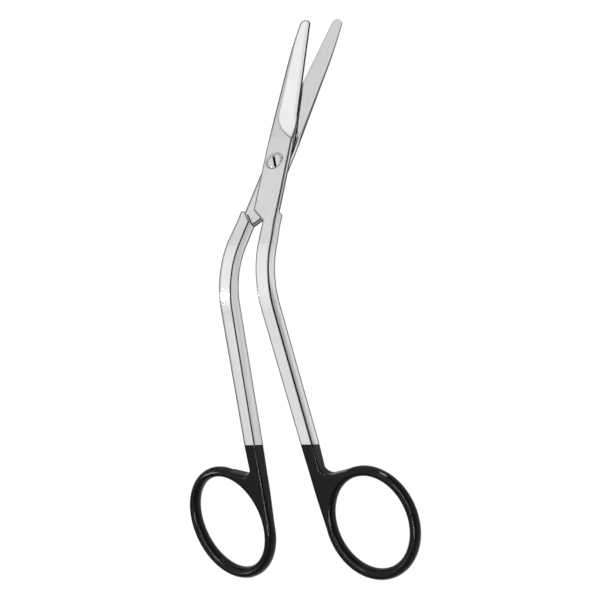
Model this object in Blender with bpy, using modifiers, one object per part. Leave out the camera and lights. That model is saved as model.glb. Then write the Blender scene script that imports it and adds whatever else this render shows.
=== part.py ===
"""Angled nasal scissors with ring handles, lying on a table as they come to rest.

The scissors are two forged halves and one slotted pivot screw. Each half is one piece of
steel: blade, flat joint plate, bent shank and finger ring. Both halves come from the same
function. It works in the half's own frame: origin on the pivot, +X towards the half's own
ring, +Y towards the blade tip, and +Z out of the joint plate, away from the other half.
The rear half is turned half a turn about Y, so its plate lies behind the front one.
"""

import math

import bmesh
import bpy
import numpy as np
from mathutils import Matrix, Vector

MM = 0.001

# Blade
TIP_REACH = 50.3 * MM
TIP_RADIUS = 1.6 * MM
TIP_OFFSET = -0.1 * MM
SPINE_BEND_AT = 33.0 * MM
SPINE_BEND_WIDTH = 2.95 * MM
TIP_THICKNESS = 1.05 * MM

# Ground facet on the outer face of the blade
FACET_ANGLE = math.radians(13.2)
FACET_LINE = -1.9 * MM
FACET_END = 17.0 * MM
WHEEL_RADIUS = 36.0 * MM

# Joint plate
PLATE_EDGE_SIDE = 4.4 * MM
PLATE_SPINE_SIDE = 3.65 * MM
PLATE_THICKNESS = 1.75 * MM
HEEL = 8.0 * MM
SPINE_START = 5.0 * MM
TAIL_START = 16.2 * MM
TAIL_ANGLE = math.radians(47.0)
SHOULDER_SQUARE_AT = 17.2 * MM
SHOULDER_OUTER = 4.3 * MM

# Clearances
LAP_GAP = 0.3 * MM
SHOULDER_GAP = 0.3 * MM
SCREW_GAP = 0.3 * MM

# Ring's centre, measured along the shank from the corner of the bend
RING_ALONG = 76.6 * MM

# Shank, measured along its neutral line from the bend's corner: distance along, inner side,
# outer side, thickness, and radius of the long edges
BEND_AT = 37.1 * MM
BEND_ANGLE = math.radians(50.3)
BEND_RADIUS = 21.0 * MM
SHANK_INNER = 0.2 * MM
SHANK_OUTER = 4.65 * MM
SHANK_EDGE = 0.3 * MM
HANDLE_SECTIONS = (
    (12.0 * MM, 0.15 * MM, 4.30 * MM, 4.20 * MM, 0.30 * MM),
    (RING_ALONG - 25.1 * MM, 0.35 * MM, 4.20 * MM, 4.15 * MM, 0.35 * MM),
    (RING_ALONG - 18.6 * MM, 0.30 * MM, 4.10 * MM, 4.00 * MM, 0.60 * MM),
    (RING_ALONG - 10.6 * MM, 0.15 * MM, 3.85 * MM, 3.85 * MM, 0.95 * MM),
    (RING_ALONG - 0.1 * MM, 0.20 * MM, 3.25 * MM, 3.60 * MM, 1.50 * MM),
)

# Finger ring, and the web that joins its top to the shank
RING_OUT = 15.0 * MM
RING_HOLE_HALF_WIDTH = 11.65 * MM
RING_HOLE_HALF_LENGTH = 14.2 * MM
RING_TILT = math.radians(7.8)
RING_WIRE = 2.95 * MM
RING_WIRE_AT_END = 3.3 * MM
RING_WIRE_THICKNESS = 3.6 * MM
WEB_TOP = RING_ALONG - 15.75 * MM
WEB_FILLET = 3.0 * MM
WEB_EDGE = 0.8 * MM
WEB_BLUNT_END = 0.7 * MM
WEB_INSET = 0.02 * MM
WEB_RING_INSET = 0.045 * MM
WEB_SHANK_OVERLAP = 0.2 * MM
WEB_MEETS_RING = math.radians(250)
WEB_LEAVES_RING = math.radians(190)

# Black coating on the ring end: its edge is the level line of a dip bath
COAT_ALONG = RING_ALONG - 25.1 * MM
COAT_TILT = math.radians(20.3)

# Pivot screw
HEAD_DIAMETER = 4.3 * MM
HEAD_HEIGHT = 0.7 * MM
HEAD_RECESS = 0.05 * MM
HEAD_EDGE = 0.12 * MM
SCREW_DIAMETER = 2.6 * MM
SCREW_END_RECESS = 0.05 * MM
SLOT_WIDTH = 0.5 * MM
SLOT_DEPTH = 0.4 * MM
SLOT_ANGLE = math.radians(26.0)

# Opening of the scissors as they lie, from the middle line to each half
HALF_OPENING = math.radians(6.05)

# Facets of the curved surfaces
CORNER_STEPS = 4
TIP_STEPS = 6
TIP_SWEEP = math.radians(85)
BEND_STEPS = 16
RING_STEPS = 72
RING_BEVEL_RESOLUTION = 6
WHEEL_STEPS = 40
ROUND_SIDES = 48
FILLET_STEPS = 8
MERGE = 0.001 * MM

# Worked out from the sizes above
RING_RADIUS = RING_WIRE / 2
BEND_TANGENT = BEND_RADIUS * math.tan(BEND_ANGLE / 2)
BEND_START = BEND_AT - BEND_TANGENT
BEND_END = BEND_START + BEND_RADIUS * BEND_ANGLE
TIP_CENTRE = TIP_REACH - TIP_RADIUS
CUTTER_REACH = 3 * TIP_REACH


def new_collection(name):
    """Add an empty collection to the scene."""
    collection = bpy.data.collections.new(name)
    bpy.context.scene.collection.children.link(collection)
    return collection


def new_material(name, colour, metallic, roughness):
    """Make a plain Principled material."""
    material = bpy.data.materials.new(name)
    material.use_nodes = True
    shader = material.node_tree.nodes["Principled BSDF"]
    shader.inputs["Base Color"].default_value = (*colour, 1.0)
    shader.inputs["Metallic"].default_value = metallic
    shader.inputs["Roughness"].default_value = roughness
    return material


def shade_round(mesh, angle=math.radians(32)):
    """Shade a mesh smooth and keep its real edges sharp."""
    mesh.shade_smooth()
    mesh.set_sharp_from_angle(angle=angle)


def add_mesh_object(name, mesh, collection):
    """Put a mesh in the scene as an object."""
    shade_round(mesh)
    thing = bpy.data.objects.new(name, mesh)
    collection.objects.link(thing)
    return thing


def curve_to_mesh(curve_object, name, collection):
    """Turn a curve object into a closed mesh object in the same place."""
    bpy.context.view_layer.update()
    evaluated = curve_object.evaluated_get(bpy.context.evaluated_depsgraph_get())
    mesh = bpy.data.meshes.new_from_object(evaluated)
    mesh.name = name
    bm = bmesh.new()
    bm.from_mesh(mesh)
    bmesh.ops.remove_doubles(bm, verts=bm.verts, dist=MERGE)
    bmesh.ops.recalc_face_normals(bm, faces=bm.faces)
    bm.to_mesh(mesh)
    bm.free()
    thing = add_mesh_object(name, mesh, collection)
    thing.matrix_world = curve_object.matrix_world.copy()
    bpy.data.objects.remove(curve_object)
    return thing


def extruded_outline(name, outline, half_depth, collection, matrix=Matrix(), edge=0.0):
    """Make a plate from a closed outline in the matrix's XY plane, with rounded edges or none."""
    data = bpy.data.curves.new(name, "CURVE")
    data.dimensions = "2D"
    data.fill_mode = "BOTH"
    data.extrude = half_depth - edge
    data.bevel_depth = edge
    data.bevel_resolution = 3
    spline = data.splines.new("POLY")
    spline.points.add(len(outline) - 1)
    for point, (x, y) in zip(spline.points, outline):
        point.co = (x, y, 0.0, 1.0)
    spline.use_cyclic_u = True
    curve_object = bpy.data.objects.new(name, data)
    collection.objects.link(curve_object)
    curve_object.matrix_world = matrix
    return curve_to_mesh(curve_object, name, collection)


def round_bar(name, diameter, low, high, collection):
    """Make a cylinder on the Z axis."""
    mesh = bpy.data.meshes.new(name)
    bm = bmesh.new()
    place = Matrix.Translation((0.0, 0.0, (low + high) / 2))
    bmesh.ops.create_cone(bm, cap_ends=True, segments=ROUND_SIDES, radius1=diameter / 2,
                          radius2=diameter / 2, depth=high - low, matrix=place)
    bm.to_mesh(mesh)
    bm.free()
    return add_mesh_object(name, mesh, collection)


def combine(target, operand, operation):
    """Join an operand to the target, or cut it out, and hide the operand."""
    modifier = target.modifiers.new(f"{operation.lower()}_{operand.name}", "BOOLEAN")
    modifier.operation = operation
    modifier.solver = "EXACT"
    modifier.material_mode = "TRANSFER"
    modifier.object = operand
    operand.parent = target
    if operation == "DIFFERENCE":
        operand.data.shade_flat()
    operand.hide_render = True
    operand.display_type = "WIRE"


def add_face_normals(thing):
    """Let the large flat faces set the shading of the edges between them."""
    weighting = thing.modifiers.new("face_normals", "WEIGHTED_NORMAL")
    weighting.weight = 100
    weighting.keep_sharp = True


def arc(centre, radius, start, end, steps):
    """Points of an arc, both ends included."""
    angles = np.linspace(start, end, steps + 1)
    return [(centre[0] + radius * math.cos(a), centre[1] + radius * math.sin(a)) for a in angles]


# Outline of the half in its own frame

def edge_side(y):
    """X of the cutting-edge side of the blade and plate."""
    return float(np.interp(y, (HEEL, TIP_CENTRE), (PLATE_EDGE_SIDE, TIP_OFFSET + TIP_RADIUS)))


def spine_side(y):
    """X of the spine side: straight from the plate, then drawn in towards the tip."""
    slope = (SPINE_BEND_WIDTH - PLATE_SPINE_SIDE) / (SPINE_BEND_AT - SPINE_START)
    if y <= SPINE_BEND_AT:
        return -PLATE_SPINE_SIDE - slope * max(y - SPINE_START, 0.0)
    span = TIP_CENTRE - SPINE_BEND_AT
    drop = SPINE_BEND_WIDTH + slope * span - (TIP_RADIUS - TIP_OFFSET)
    run = y - SPINE_BEND_AT
    return -(SPINE_BEND_WIDTH + slope * run - drop * (run / span) ** 2)


def blade_thickness(y):
    """Thickness of the blade over the lap plane."""
    return float(np.interp(y, (HEEL, TIP_REACH), (PLATE_THICKNESS, TIP_THICKNESS)))


def tail_end():
    """Y where the plate's slanted tail meets the shank's inner side."""
    return -TAIL_START - (PLATE_SPINE_SIDE + SHANK_INNER) * math.tan(TAIL_ANGLE)


def blank_sections():
    """Sections of the forged blank from tip to ring.

    Each is a distance down the neutral line from the pivot, the two sides, half the
    thickness, and the radius of the long edges.
    """
    sections = []
    for step in range(TIP_STEPS, 0, -1):
        angle = TIP_SWEEP * step / TIP_STEPS
        y = TIP_CENTRE + TIP_RADIUS * math.sin(angle)
        half_width = TIP_RADIUS * math.cos(angle)
        sections.append((-y, TIP_OFFSET - half_width, TIP_OFFSET + half_width,
                         blade_thickness(y), SHANK_EDGE))
    blade_run = TIP_CENTRE - SPINE_BEND_AT
    stations = [SPINE_BEND_AT + blade_run * part for part in (1.0, 0.8, 0.6, 0.4, 0.2, 0.0)]
    for y in stations + [(SPINE_BEND_AT + HEEL) / 2, HEEL, SPINE_START, -TAIL_START]:
        sections.append((-y, spine_side(y), edge_side(y), blade_thickness(y), SHANK_EDGE))
    sections.append((-tail_end(), SHANK_INNER, SHOULDER_OUTER, PLATE_THICKNESS, SHANK_EDGE))
    sections.append((BEND_START, SHANK_INNER, SHANK_OUTER, PLATE_THICKNESS, SHANK_EDGE))
    first = (BEND_TANGENT, *HANDLE_SECTIONS[0][1:])
    for step in range(1, BEND_STEPS + 1):
        part = step / BEND_STEPS
        sides = np.array((SHANK_INNER, SHANK_OUTER, PLATE_THICKNESS, SHANK_EDGE))
        after = np.array((first[1], first[2], first[3] / 2, first[4]))
        blend = sides + (after - sides) * part
        sections.append((BEND_START + (BEND_END - BEND_START) * part, *blend))
    for along, inner, outer, thickness, radius in HANDLE_SECTIONS[1:]:
        sections.append((BEND_END + along - BEND_TANGENT, inner, outer, thickness / 2, radius))
    return sections


def neutral_line(distance, bend):
    """Point on the neutral line, and the direction of the plate's +Z there."""
    if distance <= BEND_START:
        return Vector((0.0, -distance, 0.0)), Vector((0.0, 0.0, 1.0))
    turned = min(distance - BEND_START, BEND_END - BEND_START)
    angle = turned / BEND_RADIUS
    straight = distance - BEND_START - turned
    y = -BEND_START - BEND_RADIUS * math.sin(angle) - straight * math.cos(angle)
    z = BEND_RADIUS * (1 - math.cos(angle)) + straight * math.sin(angle)
    return Vector((0.0, y, bend * z)), Vector((0.0, bend * math.sin(angle), math.cos(angle)))


def rounded_section(left, right, half_thickness, radius):
    """Rectangle with rounded corners, as points of side and height."""
    radius = min(radius, 0.49 * (right - left), 0.98 * half_thickness)
    corners = ((right - radius, half_thickness - radius), (left + radius, half_thickness - radius),
               (left + radius, radius - half_thickness), (right - radius, radius - half_thickness))
    points = []
    for quarter, centre in enumerate(corners):
        start = quarter * math.pi / 2
        points += arc(centre, radius, start, start + math.pi / 2, CORNER_STEPS)
    return points


def loft(name, rings):
    """Skin a row of sections that have as many points each, and close both ends."""
    mesh = bpy.data.meshes.new(name)
    bm = bmesh.new()
    loops = [[bm.verts.new(point) for point in ring] for ring in rings]
    for one, two in zip(loops, loops[1:]):
        for here in range(len(one)):
            there = (here + 1) % len(one)
            bm.faces.new((one[here], one[there], two[there], two[here]))
    bm.faces.new(loops[0])
    bm.faces.new(loops[-1])
    bmesh.ops.recalc_face_normals(bm, faces=bm.faces)
    bm.to_mesh(mesh)
    bm.free()
    return mesh


def handle_frame(bend):
    """Frame of the straight handle: origin at the bend's corner, X outwards, Y down the handle."""
    along = Vector((0.0, -math.cos(BEND_ANGLE), bend * math.sin(BEND_ANGLE)))
    out = Vector((1.0, 0.0, 0.0))
    frame = Matrix((out, along, out.cross(along))).transposed().to_4x4()
    frame.translation = (0.0, -BEND_AT, 0.0)
    return frame


def coat_from_line(mesh, bend):
    """Split the blank's faces at the edge of the coating and give the far ones the coating."""
    side = math.tan(HALF_OPENING)
    normal = Vector((-side, 1.0, bend * math.tan(COAT_TILT))).normalized()
    frame = handle_frame(bend)
    point = frame @ Vector(((SHANK_INNER + SHANK_OUTER) / 2, COAT_ALONG, 0.0))
    normal = frame.to_3x3() @ normal
    bm = bmesh.new()
    bm.from_mesh(mesh)
    everything = bm.verts[:] + bm.edges[:] + bm.faces[:]
    bmesh.ops.bisect_plane(bm, geom=everything, plane_co=point, plane_no=normal)
    for face in bm.faces:
        is_coated = (face.calc_center_median() - point).dot(normal) > 0
        face.material_index = 1 if is_coated else 0
    bm.to_mesh(mesh)
    bm.free()


def forged_blank(name, bend, collection):
    """Blade, plate and shank before the joint is milled: one bar of changing section."""
    rings = []
    for distance, left, right, half_thickness, radius in blank_sections():
        centre, up = neutral_line(distance, bend)
        section = rounded_section(left, right, half_thickness, radius)
        rings.append([centre + Vector((x, 0.0, 0.0)) + up * z for x, z in section])
    mesh = loft(name, rings)
    coat_from_line(mesh, bend)
    return add_mesh_object(name, mesh, collection)


# Finger ring and web, in the handle frame

def ring_wire(angle):
    """Radius of the ring's wire: a little stouter at the far end than at the shank."""
    share = (1 + math.sin(angle)) / 2
    return RING_RADIUS + (RING_WIRE_AT_END - RING_WIRE) / 2 * share


def ring_point(angle):
    """Point on the middle line of the ring's wire, side and distance along."""
    x = (RING_HOLE_HALF_WIDTH + ring_wire(angle)) * math.cos(angle)
    y = (RING_HOLE_HALF_LENGTH + ring_wire(angle)) * math.sin(angle)
    return (RING_OUT + x * math.cos(RING_TILT) - y * math.sin(RING_TILT),
            RING_ALONG + x * math.sin(RING_TILT) + y * math.cos(RING_TILT))


def finger_ring(name, bend, collection):
    """The ring: a closed oval wire of changing width round the oval hole."""
    data = bpy.data.curves.new(name, "CURVE")
    data.dimensions = "3D"
    data.bevel_depth = RING_RADIUS
    data.bevel_resolution = RING_BEVEL_RESOLUTION
    spline = data.splines.new("POLY")
    spline.points.add(RING_STEPS - 1)
    for index, point in enumerate(spline.points):
        angle = 2 * math.pi * index / RING_STEPS
        x, y = ring_point(angle)
        point.co = (x, y, 0.0, 1.0)
        point.radius = ring_wire(angle) / RING_RADIUS
    spline.use_cyclic_u = True
    curve_object = bpy.data.objects.new(name, data)
    collection.objects.link(curve_object)
    curve_object.matrix_world = handle_frame(bend)
    thing = curve_to_mesh(curve_object, name, collection)
    for vertex in thing.data.vertices:
        vertex.co.z *= RING_WIRE_THICKNESS / RING_WIRE
    return thing


def shank_side(along, column):
    """Size of the handle at a distance along: column 1 is its inner side, 2 outer, 3 thickness."""
    stations = [section[0] for section in HANDLE_SECTIONS]
    return float(np.interp(along, stations, [section[column] for section in HANDLE_SECTIONS]))


def web_outline():
    """Outline of the web between shank and ring, inside its rounded edge."""
    turn = WEB_TOP - WEB_FILLET
    side = shank_side(turn, 2) - WEB_SHANK_OVERLAP
    middle = (shank_side(turn, 1) + shank_side(turn, 2)) / 2
    centre = (side + WEB_FILLET, turn)
    outline = [(middle, turn - WEB_FILLET / 2), (side - WEB_EDGE, turn - WEB_FILLET / 2)]
    outline += arc(centre, WEB_FILLET + WEB_EDGE, math.pi, math.pi / 2, FILLET_STEPS)
    end_x, end_y = ring_point(WEB_MEETS_RING)
    outline.append((end_x - WEB_BLUNT_END, end_y - WEB_BLUNT_END / 2))
    ring = [ring_point(angle) for angle in np.linspace(WEB_MEETS_RING, WEB_LEAVES_RING, 11)]
    return outline + [point for point in ring if point[0] > middle]


def web(name, bend, collection):
    """Web with rounded edges that fills the crotch: flush with the shank, thinner at the ring."""
    half_depth = shank_side(WEB_TOP, 3) / 2
    thing = extruded_outline(name, web_outline(), half_depth, collection, handle_frame(bend),
                             WEB_EDGE)
    for vertex in thing.data.vertices:
        side = shank_side(vertex.co.y, 2)
        at_shank = shank_side(vertex.co.y, 3) / 2 - WEB_INSET
        at_ring = RING_WIRE_THICKNESS / 2 - WEB_RING_INSET
        depth = np.interp(vertex.co.x, (side, ring_point(WEB_MEETS_RING)[0]), (at_shank, at_ring))
        vertex.co.z *= depth / half_depth
    return thing


# Milling of the joint and grinding of the blade

def lap_cutter(name, collection):
    """Everything below the lap face, up to the shoulder that the other half's tail meets.

    The shoulder runs parallel to the other half's tail, a clearance away from it, and then
    square across to the outer side.
    """
    slope = math.tan(TAIL_ANGLE)
    start_y = -TAIL_START - SHOULDER_GAP / math.cos(TAIL_ANGLE)
    square_x = PLATE_SPINE_SIDE - (SHOULDER_SQUARE_AT + start_y) / slope
    far = 2 * (PLATE_EDGE_SIDE + PLATE_SPINE_SIDE)
    outline = [(-far, start_y - (PLATE_SPINE_SIDE + far) * slope), (square_x, -SHOULDER_SQUARE_AT),
               (far, -SHOULDER_SQUARE_AT), (far, CUTTER_REACH), (-far, CUTTER_REACH)]
    depth = 2 * PLATE_THICKNESS
    place = Matrix.Translation((0.0, 0.0, LAP_GAP / 2 - depth))
    return extruded_outline(name, outline, depth, collection, place)


def facet_cutter(name, collection):
    """Path of the grinding wheel: a flat along the blade that runs out in the wheel's radius."""
    lift = 2 * PLATE_THICKNESS
    end_angle = math.acos(1 - lift / WHEEL_RADIUS)
    outline = [(CUTTER_REACH, 0.0)]
    for step in range(WHEEL_STEPS + 1):
        angle = end_angle * step / WHEEL_STEPS
        outline.append((-WHEEL_RADIUS * math.sin(angle), WHEEL_RADIUS * (1 - math.cos(angle))))
    outline += [(outline[-1][0], 2 * lift), (CUTTER_REACH, 2 * lift)]
    taper = (PLATE_THICKNESS - TIP_THICKNESS) / (TIP_REACH - HEEL)
    start = (FACET_LINE, FACET_END, blade_thickness(FACET_END))
    place = Matrix.Translation(start) @ Matrix.Rotation(-math.atan(taper), 4, "X")
    place = place @ Matrix.Rotation(FACET_ANGLE, 4, "Y")
    upright = Matrix(((0, 0, 1), (1, 0, 0), (0, 1, 0))).to_4x4()
    return extruded_outline(name, outline, CUTTER_REACH / 2, collection, place @ upright)


def make_half(name, bend, has_head_seat, parts, construction, finishes):
    """One forged half, in its own frame. bend is the side to which its handle turns in Z."""
    half = forged_blank(name, bend, parts)
    operands = [
        (finger_ring(f"{name}_ring", bend, construction), "UNION"),
        (web(f"{name}_web", bend, construction), "UNION"),
        (lap_cutter(f"{name}_lap", construction), "DIFFERENCE"),
        (facet_cutter(f"{name}_facet", construction), "DIFFERENCE"),
        (round_bar(f"{name}_bore", SCREW_DIAMETER + 2 * SCREW_GAP, -PLATE_THICKNESS,
                   2 * PLATE_THICKNESS, construction), "DIFFERENCE"),
    ]
    if has_head_seat:
        floor = PLATE_THICKNESS - HEAD_RECESS - HEAD_HEIGHT - SCREW_GAP
        seat = round_bar(f"{name}_seat", HEAD_DIAMETER + 2 * SCREW_GAP, floor,
                         2 * PLATE_THICKNESS, construction)
        operands.append((seat, "DIFFERENCE"))
    steel, coating = finishes
    half.data.materials.append(steel)
    half.data.materials.append(coating)
    for operand, operation in operands:
        finish = coating if operation == "UNION" else steel
        operand.data.materials.clear()
        operand.data.materials.append(finish)
        combine(half, operand, operation)
    add_face_normals(half)
    return half


def pivot_screw(name, parts, construction, steel):
    """Slotted screw: a turned profile, with the slot cut across its head."""
    top = PLATE_THICKNESS - HEAD_RECESS
    under_head = top - HEAD_HEIGHT
    foot = SCREW_END_RECESS - PLATE_THICKNESS
    head = HEAD_DIAMETER / 2
    body = SCREW_DIAMETER / 2
    profile = [(0.0, top), (head - HEAD_EDGE, top), (head, top - HEAD_EDGE), (head, under_head),
               (body, under_head), (body, foot), (0.0, foot)]
    mesh = bpy.data.meshes.new(name)
    mesh.from_pydata([(x, 0.0, z) for x, z in profile],
                     [(i, i + 1) for i in range(len(profile) - 1)], [])
    screw = bpy.data.objects.new(name, mesh)
    parts.objects.link(screw)
    turning = screw.modifiers.new("turning", "SCREW")
    turning.axis = "Z"
    turning.steps = ROUND_SIDES
    turning.render_steps = ROUND_SIDES
    turning.use_merge_vertices = True
    turning.merge_threshold = MERGE
    turning.use_smooth_shade = True
    mesh.materials.append(steel)

    slot_mesh = bpy.data.meshes.new("slot")
    bm = bmesh.new()
    size = Matrix.Diagonal((SLOT_WIDTH, 2 * HEAD_DIAMETER, 2 * SLOT_DEPTH, 1.0))
    place = Matrix.Translation((0.0, 0.0, top)) @ Matrix.Rotation(SLOT_ANGLE, 4, "Z")
    bmesh.ops.create_cube(bm, size=1.0, matrix=place @ size)
    bm.to_mesh(slot_mesh)
    bm.free()
    combine(screw, add_mesh_object("screw_slot", slot_mesh, construction), "DIFFERENCE")
    return screw


# Resting place

def points_in_frame(things):
    """Every corner of some objects' finished meshes, in world space."""
    depsgraph = bpy.context.evaluated_depsgraph_get()
    rows = []
    for thing in things:
        evaluated = thing.evaluated_get(depsgraph)
        mesh = evaluated.to_mesh()
        rows += [evaluated.matrix_world @ vertex.co for vertex in mesh.vertices]
        evaluated.to_mesh_clear()
    return np.array([tuple(row) for row in rows])


def lay_down(pivot, halves):
    """Tilt the scissors so that blade tips and rings touch the table, and centre them on it."""
    bpy.context.view_layer.update()
    points = points_in_frame(halves)
    y, z = points[:, 1], points[:, 2]
    low, high = 0.0, math.radians(80)
    for _ in range(40):
        tilt = (low + high) / 2
        height = z * math.cos(tilt) - y * math.sin(tilt)
        if height[y > 0].min() > height[y < 0].min():
            low = tilt
        else:
            high = tilt
    depth = y * math.cos(tilt) + z * math.sin(tilt)
    height = z * math.cos(tilt) - y * math.sin(tilt)
    pivot.rotation_euler = (-tilt, 0.0, 0.0)
    middle = (points[:, 0].min() + points[:, 0].max()) / 2
    pivot.location = (-middle, -(depth.min() + depth.max()) / 2, -height.min())


def main():
    """Build the scissors."""
    for thing in list(bpy.data.objects):
        bpy.data.objects.remove(thing)
    parts = new_collection("nasal_scissors")
    construction = new_collection("construction")
    steel = new_material("polished_steel", (0.72, 0.72, 0.73), 1.0, 0.18)
    coating = new_material("black_coating", (0.012, 0.012, 0.013), 0.0, 0.22)
    screw_steel = new_material("screw_steel", (0.66, 0.66, 0.67), 1.0, 0.25)

    pivot = bpy.data.objects.new("pivot", None)
    pivot.empty_display_size = HEAD_DIAMETER
    parts.objects.link(pivot)

    front = make_half("front_half", -1, True, parts, construction, (steel, coating))
    rear = make_half("rear_half", 1, False, parts, construction, (steel, coating))
    screw = pivot_screw("pivot_screw", parts, construction, screw_steel)
    for thing in (front, rear, screw):
        thing.parent = pivot
    front.rotation_euler = (0.0, 0.0, HALF_OPENING)
    rear.rotation_euler = (0.0, math.pi, -HALF_OPENING)
    lay_down(pivot, (front, rear))
    bpy.context.view_layer.update()


main()
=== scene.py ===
"""Angled nasal scissors on a pale table, as photographed for a catalogue."""
import math

import bmesh
import bpy
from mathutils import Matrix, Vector


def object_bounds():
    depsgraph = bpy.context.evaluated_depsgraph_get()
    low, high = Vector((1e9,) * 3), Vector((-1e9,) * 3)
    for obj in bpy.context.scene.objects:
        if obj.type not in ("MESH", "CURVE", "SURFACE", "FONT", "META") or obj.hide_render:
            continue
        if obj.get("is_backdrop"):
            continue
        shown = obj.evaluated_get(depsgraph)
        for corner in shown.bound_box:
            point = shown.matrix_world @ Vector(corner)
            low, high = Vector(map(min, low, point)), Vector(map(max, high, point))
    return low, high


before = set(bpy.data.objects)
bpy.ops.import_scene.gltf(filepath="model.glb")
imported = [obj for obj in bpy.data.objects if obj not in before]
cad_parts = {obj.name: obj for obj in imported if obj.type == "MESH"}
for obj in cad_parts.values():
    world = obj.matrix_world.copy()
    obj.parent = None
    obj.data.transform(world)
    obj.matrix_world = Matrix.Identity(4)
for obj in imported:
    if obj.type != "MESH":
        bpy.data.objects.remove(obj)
CAD_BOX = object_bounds()

MM = 0.001

# Camera, found from the pivot, blade tips and finger rings in the photograph
CAMERA_PLACE = (0.522291, -0.076030, 0.798769)
CAMERA_TURN = (4.97335, 33.46976, 0.84976)
CAMERA_LENS = 198.226
SENSOR_WIDTH = 36.0
VIEW_END = 20.0

# Pivot: its place, and the direction that the joint plates and the screw's head face
PIVOT = Vector((0.0, 0.036414, 0.023119))
PIVOT_AXIS = Vector((0.0, 0.450152, 0.892952))

# Screw: height of its head, direction across its slot, and turning marks in radians a metre
HEAD_TOP = 1.70 * MM
SLOT_SIDE = Vector((0.8988, 0.3915, -0.1973))
TURNING_MARKS = 40000.0

# Painted shade in the slot: heights between which it darkens, and distance from the axis at which
# it ends
SLOT_HEIGHTS = (HEAD_TOP - 0.16 * MM, HEAD_TOP - 0.04 * MM)
SLOT_ENDS = (2.1 * MM, 2.0 * MM)
SLOT_SHADE_TONE, SLOT_ROUGHNESS = 0.01, 0.6

# Painted shadow beside the slot: distances from the slot's middle and from the axis
SLOT_SHADOW_SIDES = (0.42 * MM, 0.36 * MM)
SLOT_SHADOW_ENDS = (2.08 * MM, 1.98 * MM)
SLOT_SHADOW_TONE = 0.004

# Gap round the head, painted pale as painted light: distances from the axis on the screw and on
# the half, tone and metal
GAP_ON_SCREW = (2.08 * MM, 2.13 * MM)
GAP_ON_HALF = (2.5 * MM, 2.4 * MM)
GAP_LIGHT_TONE, GAP_METALLIC = 0.8, 0.3

# Distances from the axis between which the painted dark edges of a half begin
EDGE_SHADE_FROM = (2.3 * MM, 2.8 * MM)

# Distances along Y: where the blades begin, and where the bend and the straight shanks lie
BLADE_START, BLADE_END = 0.040, 0.050
BEND_START, BEND_END = 0.016, 0.004
STRAIGHT_START, STRAIGHT_END = -0.011, -0.003

# Plane in the middle of the straight shanks, and how softly it turns into the plates' plane
SHANK_FACE = Vector((0.0, -0.397, 0.918))
SHANK_MIDDLE = Vector((0.0, -0.0447, 0.0148))
BEND_SPAN = 6.0 * MM

# Steel: tones, roughness of the halves and of the screw, and what streaks and smudges add
STEEL_TONES, STEEL_TINT = (0.70, 0.74), 0.01
HALF_ROUGHNESS, SCREW_ROUGHNESS = 0.17, 0.2
STREAK_ROUGHNESS, SMUDGE_ROUGHNESS = 0.04, 0.05

# Noise on the steel, in steps a metre: fine and broad grinding marks, streaks and smudges
FINE_SCALE = (5200.0, 110.0, 5200.0)
BROAD_SCALE = (1500.0, 60.0, 1500.0)
STREAK_SCALE = (20.0, 20.0, 1700.0)
SMUDGE_SCALE = (90.0, 90.0, 90.0)
NOISE_MIDDLE = (0.3, 0.7)

# Bumps of the grinding and turning marks: strength and height
HALF_BUMP = (0.35, 0.004 * MM)
SCREW_BUMP = (0.3, 0.003 * MM)

# Side faces: how far their normal turns, and the tone of their streaks, grinding streaks partly
# painted as reflection
SIDE_TURN = (0.5, 0.9)
STREAK_REFLECTION_TONES = (0.83, 1.17)

# Painted reflection tone of the shanks' side faces, from the front edge to the back edge, and of
# the plates' sides
SIDE_REFLECTION_TONES = {"front_half": (0.66, 1.25), "rear_half": (0.95, 0.95)}
SIDE_LEVELS = (5.2 * MM, 2.0 * MM)
PLATE_SIDE_REFLECTION_TONE = 0.92

# Painted reflection tone of the front faces of the shanks, set by half, on the straight part and
# in the bend
SHANK_REFLECTION_TONES = {"front_half": (0.915, 0.915), "rear_half": (1.10, 0.95)}

# Width of the band in which a painted dark edge or outline shows, and how round the blade's edges
# look
EDGE_RADIUS = {"front_half": 0.70 * MM, "rear_half": 0.42 * MM}
OUTLINE_RADIUS = 1.2 * MM
BEVEL_SAMPLES = 8
BLADE_ROUNDING = {"front_half": 0.2, "rear_half": 0.15}

# An edge is near where the rounded normal agrees this little with the face's own normal
EDGE_NEAR = (0.9988, 0.970)
EDGE_WIDE, EDGE_WIDE_SHARE = (0.9996, 0.9955), 0.7
EDGE_CLOSE = (0.992, 0.955)

# Sideways turn of the rounded normal in which an edge is painted dark, and how softly that ends
EDGE_TURN = (0.27, 0.88)
TURN_SOFTNESS = 0.04

# How far a front edge still faces forward, and how dark the painted shade on the walls below it is
# on the plates
FORWARD_LOW, FORWARD_HIGH = 0.15, 0.35
WALL_SHADE_SHARE = 0.55

# Normals that count as turned to the left, to the right, and to a side face on the right
LEFT_TURN, RIGHT_TURN = (-0.15, -0.35), (0.15, 0.35)
RIGHT_FACE = (0.4, 0.6)

# How dark the painted shade on the front edges is, on the handle and on the blade: left, end and
# right edges
EDGE_SHADE_SHARES = {"front_half": ((0.4, 1.0, 1.0), (1.0, 0.85, 1.0)),
               "rear_half": ((0.9, 1.0, 1.0), (0.25, 0.15, 0.12))}

# The same for the painted shade on the left and right outlines, and the turns of the normal at
# which they begin
OUTLINE_SHADE_SHARES = {"front_half": ((0.0, 1.0), (0.9, 0.0)), "rear_half": ((0.8, 1.0), (0.0, 0.9))}
LEFT_OUTLINE, RIGHT_OUTLINE = (-0.06, -0.25), (-0.03, -0.12)
BLADE_OUTLINE_SHIFT = 0.38

# Corners that face up and to the right, painted black on bare steel as painted shade where a strip
# lamp would show
CORNER_NORMAL = Vector((0.535, 0.469, 0.702))
CORNER_SPAN = (0.94, 0.978)

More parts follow.
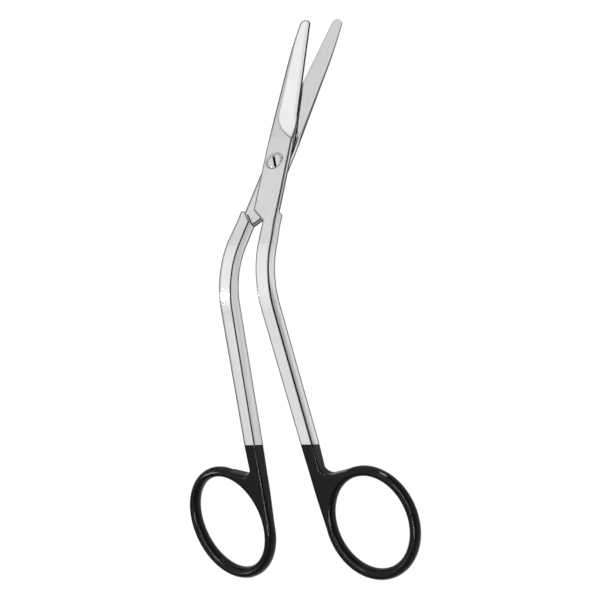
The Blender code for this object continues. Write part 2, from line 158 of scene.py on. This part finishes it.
# Edge of the black coating on each half: a point and the direction away from the joint
COAT_EDGE = {
    "front_half": (Vector((0.009789, -0.04335, 0.018955)),
                   Vector((-0.007537, -0.998522, -0.053823))),
    "rear_half": (Vector((-0.009789, -0.04335, 0.018955)),
                  Vector((0.007537, -0.998522, -0.053823))),
}
COAT_EDGE_SOFTNESS = 0.03 * MM

# Coating: tones, roughness, reflection, and its waves, dust and rubbed patches in steps a metre
COAT_TONES = (0.002, 0.005)
COAT_ROUGHNESS = (0.13, 0.2)
COAT_SPECULAR = 0.13
WAVE_SCALE, WAVE_HEIGHT = (420.0, 420.0, 420.0), 3.0
DUST_SCALE = (4200.0, 4200.0, 4200.0)
RUBBED_SCALE = (70.0, 70.0, 70.0)

# Duller far part of the rings: where it begins along Y, how uneven that is, and how dull it is
HANDLED_ALONG = (-0.056, -0.062)
HANDLED_UNEVEN = (-0.003, 0.003)
HANDLED_ROUGHNESS = 0.05

# Bright dome over the table: its brightest direction, and tones from the far side to there
DOME_TOP = Vector((-0.20, 0.10, 0.97))
DOME_TONES = ((0.0, 0.05), (0.38, 0.05), (0.50, 0.62), (0.57, 0.92), (0.63, 1.08), (1.0, 1.25))

# Bright wall behind: its direction, its edge and its tone
BACK_WALL = Vector((-0.12, 0.95, 0.29))
BACK_WALL_EDGE = (0.80, 0.95)
BACK_WALL_TONE = 1.18

# Strip lamps: the directions of both ends, strength, and half the width as seen from the part
STRIP_LAMPS = (((0.18, -0.74, 0.65), (0.42, -0.62, 0.66), 60.0, 0.045),
               ((0.69, -0.41, 0.59), (0.41, 0.135, 0.90), 40.0, 0.03),
               ((0.22, 0.08, 0.97), (0.03, 0.18, 0.98), 60.0, 0.035),
               ((0.26, 0.90, 0.34), (0.43, 0.85, 0.32), 90.0, 0.04),
               ((-0.82, -0.23, 0.53), (-0.70, -0.23, 0.68), 40.0, 0.015))
LAMP_END_SOFTNESS, LAMP_SIDE_SOFTNESS = 0.004, 0.25

# Lamps light the scissors and show in them, but not in what one face mirrors of another
LAMP_DEPTH = 2.5

# Table: half its size, its tone, and how much of it the camera sees as plain white
TABLE_REACH = 3.0
TABLE_TONE = 0.9
TABLE_WHITE = 0.93

# Table as the steel mirrors it: tones near the middle and far away, and along Y
MIRRORED_REACH, MIRRORED_TONES = (0.12, 0.30), (1.0, 0.06)
MIRRORED_ALONG, MIRRORED_SHARES = (0.02, 0.07), (0.85, 1.2)


class Nodes:
    """A node tree that is written one line a node."""

    def __init__(self, owner):
        owner.use_nodes = True
        self.tree = owner.node_tree
        self.tree.nodes.clear()

    def add(self, kind, inputs=None, **settings):
        node = self.tree.nodes.new("ShaderNode" + kind)
        for key, value in settings.items():
            setattr(node, key, value)
        for key, value in (inputs or {}).items():
            self.put(node.inputs[key], value)
        return node

    def put(self, socket, value):
        """Link a socket to another one, or set its value."""
        if isinstance(value, bpy.types.NodeSocket):
            self.tree.links.new(value, socket)
        else:
            socket.default_value = value

    def math(self, operation, first, second=0.0, third=0.0):
        """One Math node's result."""
        return self.add("Math", {0: first, 1: second, 2: third}, operation=operation).outputs[0]

    def times(self, first, second):
        return self.math("MULTIPLY", first, second)

    def vector(self, operation, first, second=(0.0, 0.0, 0.0)):
        """One Vector Math node's vector."""
        return self.add("VectorMath", {0: first, 1: second}, operation=operation).outputs["Vector"]

    def dot(self, first, second):
        node = self.add("VectorMath", {0: first, 1: second}, operation="DOT_PRODUCT")
        return node.outputs["Value"]

    def length(self, value):
        return self.add("VectorMath", {0: value}, operation="LENGTH").outputs["Value"]

    def axis(self, value, name):
        """One coordinate of a vector."""
        return self.add("SeparateXYZ", {0: value}).outputs[name]

    def bevel(self, radius):
        """Normal with rounded edges."""
        return self.add("Bevel", {"Radius": radius}, samples=BEVEL_SAMPLES).outputs[0]

    def span(self, value, low, high, to_low=0.0, to_high=1.0):
        """Value moved softly from one span to another, and held inside it."""
        inputs = {"Value": value, "From Min": low, "From Max": high, "To Min": to_low,
                  "To Max": to_high}
        return self.add("MapRange", inputs, interpolation_type="SMOOTHSTEP").outputs["Result"]

    def noise(self, place, scale, detail=2.0, roughness=0.5):
        """Noise with a scale of its own along each axis, as steps per metre."""
        mapped = self.add("Mapping", {"Vector": place, "Scale": scale}).outputs[0]
        inputs = {"Vector": mapped, "Scale": 1.0, "Detail": detail, "Roughness": roughness}
        return self.add("TexNoise", inputs).outputs["Fac"]

    def mix(self, share, first, second):
        """Mix of two numbers."""
        return self.add("Mix", {0: share, 2: first, 3: second}).outputs[0]

    def blend(self, share, first, second, mode="MIX"):
        """Mix of two colours."""
        node = self.add("Mix", data_type="RGBA", blend_type=mode, clamp_factor=True)
        for index, value in ((0, share), (6, first), (7, second)):
            self.put(node.inputs[index], value)
        return node.outputs[2]

    def finish(self, shader, kind="OutputMaterial"):
        self.add(kind, {"Surface": shader.outputs[0]})


def grey(value, tint=0.0):
    return (value, value, value * (1 + tint), 1.0)


# Steel

def offsets(nodes, place):
    """Offset of a point from the pivot, and its distance from the screw's axis."""
    away = nodes.vector("SUBTRACT", place, PIVOT)
    return away, nodes.length(nodes.vector("CROSS_PRODUCT", away, PIVOT_AXIS))


def facing_up(nodes, place, normal):
    """How far a normal turns to the front face, on the blade or on the shank."""
    upward = nodes.blend(nodes.span(nodes.axis(place, "Y"), BEND_END, BEND_START),
                         (*SHANK_FACE, 1.0), (*PIVOT_AXIS, 1.0))
    return nodes.dot(normal, upward)


def shares_along(nodes, ahead, shares):
    """Shares that change from the handle to the blade, one for each kind of edge."""
    return [nodes.span(ahead, BLADE_START, BLADE_END, *pair) for pair in zip(*shares)]


def painted_edge_shade(nodes, place, rounded, half_name):
    """Painted shade: how dark a point is painted because a front edge or a plate's wall is near.
    """
    flat = nodes.add("NewGeometry").outputs["Normal"]
    agree = nodes.dot(rounded, flat)
    ahead = nodes.axis(place, "Y")
    sharp = nodes.math("MAXIMUM", nodes.span(agree, *EDGE_NEAR),
                       nodes.span(agree, *EDGE_WIDE, 0.0, EDGE_WIDE_SHARE))
    right = nodes.axis(rounded, "X")
    sideways = nodes.math("ABSOLUTE", right)
    upward = facing_up(nodes, place, rounded)
    first, last = EDGE_TURN
    turned = nodes.times(nodes.span(sideways, first - TURN_SOFTNESS, first + TURN_SOFTNESS),
                         nodes.span(sideways, last + TURN_SOFTNESS, last - TURN_SOFTNESS))
    corner = nodes.times(turned, nodes.span(upward, FORWARD_LOW, FORWARD_HIGH))
    wall_shade = nodes.times(turned, nodes.span(upward, FORWARD_HIGH, FORWARD_LOW, 0.0, WALL_SHADE_SHARE))
    wall_shade = nodes.times(wall_shade, nodes.span(ahead, BEND_END, BEND_START))

    left_share, end_share, right_share = shares_along(nodes, ahead, EDGE_SHADE_SHARES[half_name])
    on_handle = nodes.math("SUBTRACT", 1.0, nodes.span(ahead, BLADE_START, BLADE_END))
    on_side = nodes.math("MAXIMUM", nodes.span(nodes.axis(flat, "X"), *RIGHT_FACE),
                         nodes.span(agree, *EDGE_CLOSE))
    on_side = nodes.math("MAXIMUM", on_side, on_handle)
    share = nodes.mix(nodes.span(right, *LEFT_TURN), end_share, left_share)
    share = nodes.mix(nodes.span(right, *RIGHT_TURN), share, nodes.times(right_share, on_side))
    front = nodes.times(nodes.math("MAXIMUM", corner, sharp), share)
    return nodes.math("MAXIMUM", front, wall_shade)


def painted_outline_shade(nodes, place, half_name):
    """Painted shade: how dark a point is painted because the outline is near."""
    wide = nodes.bevel(OUTLINE_RADIUS)
    right = nodes.axis(wide, "X")
    ahead = nodes.axis(place, "Y")
    on_blade = nodes.span(ahead, BLADE_START, BLADE_END)
    left_share, right_share = shares_along(nodes, ahead, OUTLINE_SHADE_SHARES[half_name])
    turned_away = nodes.math("SUBTRACT", facing_up(nodes, place, wide),
                             nodes.times(on_blade, BLADE_OUTLINE_SHIFT))
    on_right = nodes.times(nodes.span(turned_away, *RIGHT_OUTLINE),
                           nodes.span(right, *RIGHT_FACE))
    return nodes.math("MAXIMUM", nodes.times(on_right, right_share),
                      nodes.times(nodes.span(right, *LEFT_OUTLINE), left_share))


def steel_look(nodes, place, roughness, rounded, edge_shade_share, half_name):
    """Colour, roughness and height of polished steel: grinding streaks, smudges, painted
    reflection tones on the shanks' faces and painted shade on edges.
    """
    level = nodes.math("SMOOTH_MAX",
                       nodes.dot(nodes.vector("SUBTRACT", place, PIVOT), PIVOT_AXIS),
                       nodes.dot(nodes.vector("SUBTRACT", place, SHANK_MIDDLE), SHANK_FACE),
                       BEND_SPAN)
    ahead = nodes.axis(place, "Y")
    ground = nodes.add("CombineXYZ", {0: nodes.axis(place, "X"), 1: ahead, 2: level}).outputs[0]
    fine = nodes.noise(ground, FINE_SCALE, 3.0, 0.6)
    broad = nodes.noise(ground, BROAD_SCALE)
    smudges = nodes.noise(place, SMUDGE_SCALE, 4.0, 0.55)
    tone = nodes.math("ADD", nodes.span(broad, *NOISE_MIDDLE, 0.0, 0.5),
                      nodes.span(smudges, 0.35, 0.65, 0.5, 0.0))
    colour = nodes.blend(tone, *(grey(value, STEEL_TINT) for value in STEEL_TONES))

    # Painted reflection: side and front faces toned lighter or darker by half, by height and by
    # face direction
    streaks = nodes.span(nodes.noise(ground, STREAK_SCALE, 3.0, 0.7), *NOISE_MIDDLE, *STREAK_REFLECTION_TONES)
    side = nodes.span(level, *SIDE_LEVELS, *SIDE_REFLECTION_TONES[half_name])
    side = nodes.times(streaks, nodes.span(ahead, BEND_END, BEND_START, side, PLATE_SIDE_REFLECTION_TONE))
    front = nodes.span(ahead, STRAIGHT_START, STRAIGHT_END, *SHANK_REFLECTION_TONES[half_name])
    front = nodes.span(ahead, BEND_END, BEND_START, front, 1.0)
    on_side = nodes.span(nodes.math("ABSOLUTE", nodes.axis(rounded, "X")), *SIDE_TURN)
    painted_reflection = nodes.mix(on_side, front, side)
    painted_reflection = nodes.add("CombineXYZ", {0: painted_reflection, 1: painted_reflection, 2: painted_reflection}).outputs[0]
    colour = nodes.blend(1.0, colour, painted_reflection, "MULTIPLY")

    # Painted shade: edges and outlines painted dark in place of the dark surroundings they would
    # mirror
    painted_shade = nodes.math("MAXIMUM", painted_edge_shade(nodes, place, rounded, half_name),
                      painted_outline_shade(nodes, place, half_name))
    colour = nodes.blend(nodes.times(painted_shade, edge_shade_share), colour, grey(0.0))
    shine = nodes.math("ADD", nodes.span(fine, *NOISE_MIDDLE, roughness - STREAK_ROUGHNESS,
                                         roughness + STREAK_ROUGHNESS),
                       nodes.span(smudges, 0.4, 0.65, 0.0, SMUDGE_ROUGHNESS))
    return colour, shine, fine


def painted_black_corners(nodes, colour, normal):
    """Colour with the corners that face up and to the right painted black, as painted shade in
    place of a strip lamp's reflection.
    """
    return nodes.blend(nodes.span(nodes.dot(normal, CORNER_NORMAL), *CORNER_SPAN), colour,
                       grey(0.0))


# Finishes of the three pieces

def coat_look(nodes, place):
    """Colour, roughness and height of the glossy black coating."""
    waves = nodes.noise(place, WAVE_SCALE)
    dust = nodes.noise(place, DUST_SCALE)
    rubbed = nodes.noise(place, RUBBED_SCALE, 3.0)
    black = nodes.blend(nodes.span(dust, 0.45, 0.75), *(grey(value) for value in COAT_TONES))
    handled = nodes.math("ADD", nodes.axis(place, "Y"),
                         nodes.span(rubbed, *NOISE_MIDDLE, *HANDLED_UNEVEN))
    shine = nodes.math("ADD", nodes.span(rubbed, 0.35, 0.7, *COAT_ROUGHNESS),
                       nodes.span(handled, *HANDLED_ALONG, 0.0, HANDLED_ROUGHNESS))
    return black, shine, nodes.times(nodes.math("ADD", waves, 1.0), WAVE_HEIGHT)


def half_finish(half_name, coat_point, coat_direction):
    """Ground and polished steel, and beyond the dip line a glossy black coating."""
    material = bpy.data.materials.new(half_name + "_steel")
    nodes = Nodes(material)
    place = nodes.add("TexCoord").outputs["Object"]
    rounded = nodes.bevel(EDGE_RADIUS[half_name])
    radius = offsets(nodes, place)[1]
    edge_shade_share = nodes.span(radius, *EDGE_SHADE_FROM)
    colour, shine, fine = steel_look(nodes, place, HALF_ROUGHNESS, rounded, edge_shade_share, half_name)
    soft = nodes.span(nodes.axis(place, "Y"), BLADE_START, BLADE_END, 1.0,
                      BLADE_ROUNDING[half_name])
    plain = nodes.add("NewGeometry").outputs["Normal"]
    normal = nodes.add("Mix", {0: nodes.times(edge_shade_share, soft), 4: plain, 5: rounded},
                       data_type="VECTOR").outputs[1]
    colour = painted_black_corners(nodes, colour, normal)

    black, coat_shine, coat_height = coat_look(nodes, place)
    past = nodes.dot(nodes.vector("SUBTRACT", place, coat_point), coat_direction)
    coated = nodes.span(past, -COAT_EDGE_SOFTNESS, COAT_EDGE_SOFTNESS)
    bare = nodes.math("SUBTRACT", 1.0, coated)
    colour = nodes.blend(coated, colour, black)
    shine = nodes.math("ADD", nodes.times(shine, bare), nodes.times(coat_shine, coated))
    height = nodes.math("ADD", nodes.times(fine, bare), coat_height)
    strength, distance = HALF_BUMP
    bump = nodes.add("Bump", {"Strength": strength, "Distance": distance, "Height": height,
                              "Normal": normal})

    # Painted light: the gap round the head is painted pale and less metallic
    in_gap = nodes.span(radius, *GAP_ON_HALF)
    colour = nodes.blend(in_gap, colour, grey(GAP_LIGHT_TONE))
    metallic = nodes.times(bare, nodes.span(in_gap, 0.0, 1.0, 1.0, GAP_METALLIC))
    shader = nodes.add("BsdfPrincipled", {"Base Color": colour, "Metallic": metallic,
                                          "Roughness": shine, "Specular IOR Level": COAT_SPECULAR,
                                          "Normal": bump.outputs[0]})
    nodes.finish(shader)
    return material


def screw_finish():
    """Turned steel, with painted shade in the sawn slot and beside it, and painted pale and dull
    in the gap round the head as painted light.
    """
    material = bpy.data.materials.new("turned_steel")
    nodes = Nodes(material)
    place = nodes.add("TexCoord").outputs["Object"]
    plain = nodes.add("NewGeometry").outputs["Normal"]
    colour, shine, fine = steel_look(nodes, place, SCREW_ROUGHNESS, plain, 1.0, "front_half")
    away, radius = offsets(nodes, place)
    turned = nodes.math("SINE", nodes.times(radius, TURNING_MARKS))
    # Painted shade: the slot is painted dark below the head's top
    in_slot = nodes.times(nodes.span(nodes.dot(away, PIVOT_AXIS), *SLOT_HEIGHTS, 1.0, 0.0),
                          nodes.span(radius, *SLOT_ENDS))
    colour = nodes.blend(in_slot, colour, grey(SLOT_SHADE_TONE))
    shine = nodes.math("MAXIMUM", shine, nodes.times(in_slot, SLOT_ROUGHNESS))
    colour = painted_black_corners(nodes, colour, plain)
    # Painted shadow: a dark band along both sides of the slot
    from_slot = nodes.math("ABSOLUTE", nodes.dot(away, SLOT_SIDE))
    slot_shadow = nodes.times(nodes.span(from_slot, *SLOT_SHADOW_SIDES), nodes.span(radius, *SLOT_SHADOW_ENDS))
    colour = nodes.blend(slot_shadow, colour, grey(SLOT_SHADOW_TONE))
    # Painted light: the gap round the head is painted pale and less metallic
    in_gap = nodes.span(radius, *GAP_ON_SCREW)
    colour = nodes.blend(in_gap, colour, grey(GAP_LIGHT_TONE))
    metallic = nodes.span(in_gap, 0.0, 1.0, 1.0, GAP_METALLIC)
    strength, distance = SCREW_BUMP
    bump = nodes.add("Bump", {"Strength": strength, "Distance": distance, "Normal": plain,
                              "Height": nodes.math("ADD", turned, fine)})
    shader = nodes.add("BsdfPrincipled", {"Base Color": colour, "Metallic": metallic,
                                          "Roughness": shine, "Normal": bump.outputs[0]})
    nodes.finish(shader)
    return material


def wear(node, material):
    """Give a node one material."""
    node.data.materials.clear()
    node.data.materials.append(material)


# Camera, light and table

def aim_camera():
    """Look down on the front, as the photograph does."""
    data = bpy.data.cameras.new("camera")
    data.sensor_width = SENSOR_WIDTH
    data.lens = CAMERA_LENS
    data.clip_end = VIEW_END
    camera = bpy.data.objects.new("camera", data)
    camera.location = CAMERA_PLACE
    camera.rotation_euler = [math.radians(angle) for angle in CAMERA_TURN]
    bpy.context.scene.collection.objects.link(camera)
    bpy.context.scene.camera = camera


def strip_lamp(nodes, direction, start, end, strength, width):
    """Light of one long lamp, as seen in a direction."""
    start, end = Vector(start).normalized(), Vector(end).normalized()
    middle = (start + end).normalized()
    reach = start.dot(middle)
    past_side = nodes.math("ABSOLUTE", nodes.dot(direction, start.cross(end).normalized()))
    along = nodes.span(nodes.dot(direction, middle), reach - LAMP_END_SOFTNESS,
                       reach + LAMP_END_SOFTNESS)
    across = nodes.span(past_side, width * (1 + LAMP_SIDE_SOFTNESS),
                        width * (1 - LAMP_SIDE_SOFTNESS), 0.0, strength)
    return nodes.times(along, across)


def light_world():
    """White studio: a bright dome, dark walls low down, a bright wall behind and strip lamps."""
    world = bpy.data.worlds.new("studio")
    bpy.context.scene.world = world
    nodes = Nodes(world)
    direction = nodes.add("TexCoord").outputs["Generated"]
    ramp = nodes.add("ValToRGB", {"Fac": nodes.dot(direction, DOME_TOP)})
    stops = ramp.color_ramp.elements
    (low_place, low_tone), *between, (high_place, high_tone) = DOME_TONES
    stops[0].position, stops[0].color = low_place, grey(low_tone)
    stops[1].position, stops[1].color = high_place, grey(high_tone)
    for place, tone in between:
        stops.new(place).color = grey(tone)
    back_wall = nodes.span(nodes.dot(direction, BACK_WALL), *BACK_WALL_EDGE, 0.0, BACK_WALL_TONE)
    light = nodes.math("MAXIMUM", ramp.outputs[0], back_wall)
    depth = nodes.add("LightPath").outputs["Ray Depth"]
    direct = nodes.math("LESS_THAN", depth, LAMP_DEPTH)
    for lamp in STRIP_LAMPS:
        light = nodes.math("ADD", light, nodes.times(strip_lamp(nodes, direction, *lamp), direct))
    background = nodes.add("Background", {"Color": light, "Strength": 1.0})
    nodes.finish(background, "OutputWorld")


def lay_table():
    """Plain pale table top that keeps a soft shadow."""
    mesh = bpy.data.meshes.new("table")
    bm = bmesh.new()
    bmesh.ops.create_grid(bm, x_segments=1, y_segments=1, size=TABLE_REACH)
    bm.to_mesh(mesh)
    bm.free()
    table = bpy.data.objects.new("table", mesh)
    bpy.context.scene.collection.objects.link(table)
    table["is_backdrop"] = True
    material = bpy.data.materials.new("table_white")
    nodes = Nodes(material)
    place = nodes.add("TexCoord").outputs["Object"]
    path = nodes.add("LightPath")
    seen, glossy = path.outputs["Is Camera Ray"], path.outputs["Is Glossy Ray"]
    share = nodes.math("MAXIMUM", nodes.times(seen, TABLE_WHITE), glossy)
    mirrored = nodes.times(nodes.span(nodes.length(place), *MIRRORED_REACH, *MIRRORED_TONES),
                           nodes.span(nodes.axis(place, "Y"), *MIRRORED_ALONG, *MIRRORED_SHARES))
    strength = nodes.math("ADD", nodes.times(glossy, mirrored), seen)
    plain = nodes.add("BsdfDiffuse", {"Color": grey(TABLE_TONE)})
    bright = nodes.add("Emission", {"Strength": strength})
    mix = nodes.add("MixShader", {0: share, 1: plain.outputs[0], 2: bright.outputs[0]})
    nodes.finish(mix)
    mesh.materials.append(material)


aim_camera()
light_world()
lay_table()
bpy.context.scene.view_settings.view_transform = "Standard"

for half_name, (coat_point, coat_direction) in COAT_EDGE.items():
    wear(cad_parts[half_name], half_finish(half_name, coat_point, coat_direction))
wear(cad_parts["pivot_screw"], screw_finish())

boxes = {"cad": CAD_BOX, "visual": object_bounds()}
boxes = {key: [[float(value) for value in row] for row in box] for key, box in boxes.items()}
